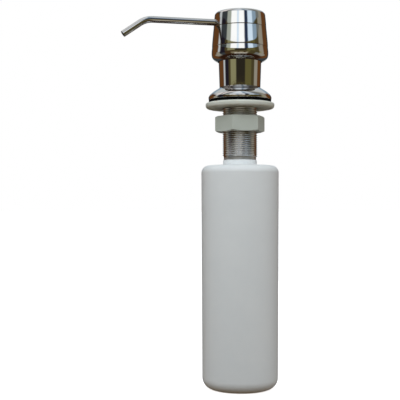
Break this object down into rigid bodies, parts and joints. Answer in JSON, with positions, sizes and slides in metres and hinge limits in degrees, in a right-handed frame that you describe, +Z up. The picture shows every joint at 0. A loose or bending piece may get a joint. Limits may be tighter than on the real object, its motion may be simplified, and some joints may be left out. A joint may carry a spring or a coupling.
{
  "type": "soap pump dispenser",
  "caption": "Built-in sink soap dispenser: plated push pump head with a slim bent spout, domed deck flange, threaded shank with washer and hexagon nut, and a cylindrical bottle below.",
  "frame": {"origin": "centre of the gasket's underside, where the part rests on the worktop (the deck plane)", "axes": "+Z up along the shank and pump, out of the worktop; the spout reaches along -X; +Y completes a right-handed frame"},
  "size_m": [0.1147, 0.0558, 0.2716],
  "materials": {
    "chrome": "polished plated",
    "spout_metal": "polished",
    "shank_metal": "satin turned",
    "spring_steel": "drawn wire",
    "ball_steel": "polished ball",
    "black_rubber": "matt",
    "white_plastic": "moulded, fine satin",
    "nut_plastic": "moulded, satin",
    "bottle_plastic": "blow-moulded, satin, slightly milky",
    "pump_plastic": "moulded",
    "dip_plastic": "extruded, milky"
  },
  "bodies": {
    "base": {"base_flange": "chrome", "threaded_shank": "shank_metal", "flange_gasket": "black_rubber"},
    "neck_ring": {"neck_seal": "black_rubber"},
    "bottle": {"bottle": "bottle_plastic"},
    "washer": {"mounting_washer": "white_plastic"},
    "nut": {"mounting_nut": "nut_plastic"},
    "insert": {"neck_sleeve": "chrome", "sleeve_o_ring": "black_rubber", "cylinder_gasket": "black_rubber", "pump_cylinder": "pump_plastic", "pump_closure": "white_plastic", "stem_guide": "pump_plastic", "ball_cage": "pump_plastic", "dip_tube": "dip_plastic", "return_spring": "spring_steel"},
    "ball": {"inlet_ball": "ball_steel"},
    "foot": {"stem_foot": "pump_plastic"},
    "piston": {"piston": "pump_plastic"},
    "head": {"stem": "pump_plastic", "head_core": "pump_plastic", "head_shell": "chrome", "head_skirt": "chrome", "spout_tube": "spout_metal", "spout_o_ring": "black_rubber"}
  },
  "joints": [
    {"name": "pump_lift", "type": "slide", "parent": "base", "child": "insert", "axis": [0, 0, 1], "range_m": [0, 0.24]},
    {"name": "ball_lift", "type": "slide", "parent": "insert", "child": "ball", "axis": [0, 0, 1], "range_m": [0, 0.002]},
    {"name": "head_press", "type": "slide", "parent": "insert", "child": "foot", "axis": [0, 0, -1], "range_m": [0, 0.014], "stiffness_N_per_m": 1040, "springref_m": -0.006, "deforming": ["return_spring"]},
    {"name": "piston_slip", "type": "slide", "parent": "foot", "child": "piston", "axis": [0, 0, 1], "range_m": [0, 0.0014]},
    {"name": "head_swivel", "type": "hinge", "parent": "foot", "child": "head", "pos_m": [0, 0, 0.04], "axis": [0, 0, 1], "continuous": true},
    {"name": "bottle_travel", "type": "slide", "parent": "base", "child": "neck_ring", "axis": [0, 0, -1], "range_m": [0, 0.01]},
    {"name": "bottle_unscrew", "type": "hinge", "parent": "neck_ring", "child": "bottle", "pos_m": [0, 0, -0.04], "axis": [0, 0, -1], "range_deg": [0, 1800]},
    {"name": "nut_travel", "type": "slide", "parent": "base", "child": "washer", "axis": [0, 0, -1], "range_m": [0, 0.018]},
    {"name": "nut_spin", "type": "hinge", "parent": "washer", "child": "nut", "pos_m": [0, 0, -0.017], "axis": [0, 0, -1], "range_deg": [0, 4320]}
  ],
  "couplings": [
    {"joint": "bottle_travel", "follows": "bottle_unscrew", "m_per_rad": 0.00031831},
    {"joint": "nut_travel", "follows": "nut_spin", "m_per_rad": 0.00023873}
  ]
}
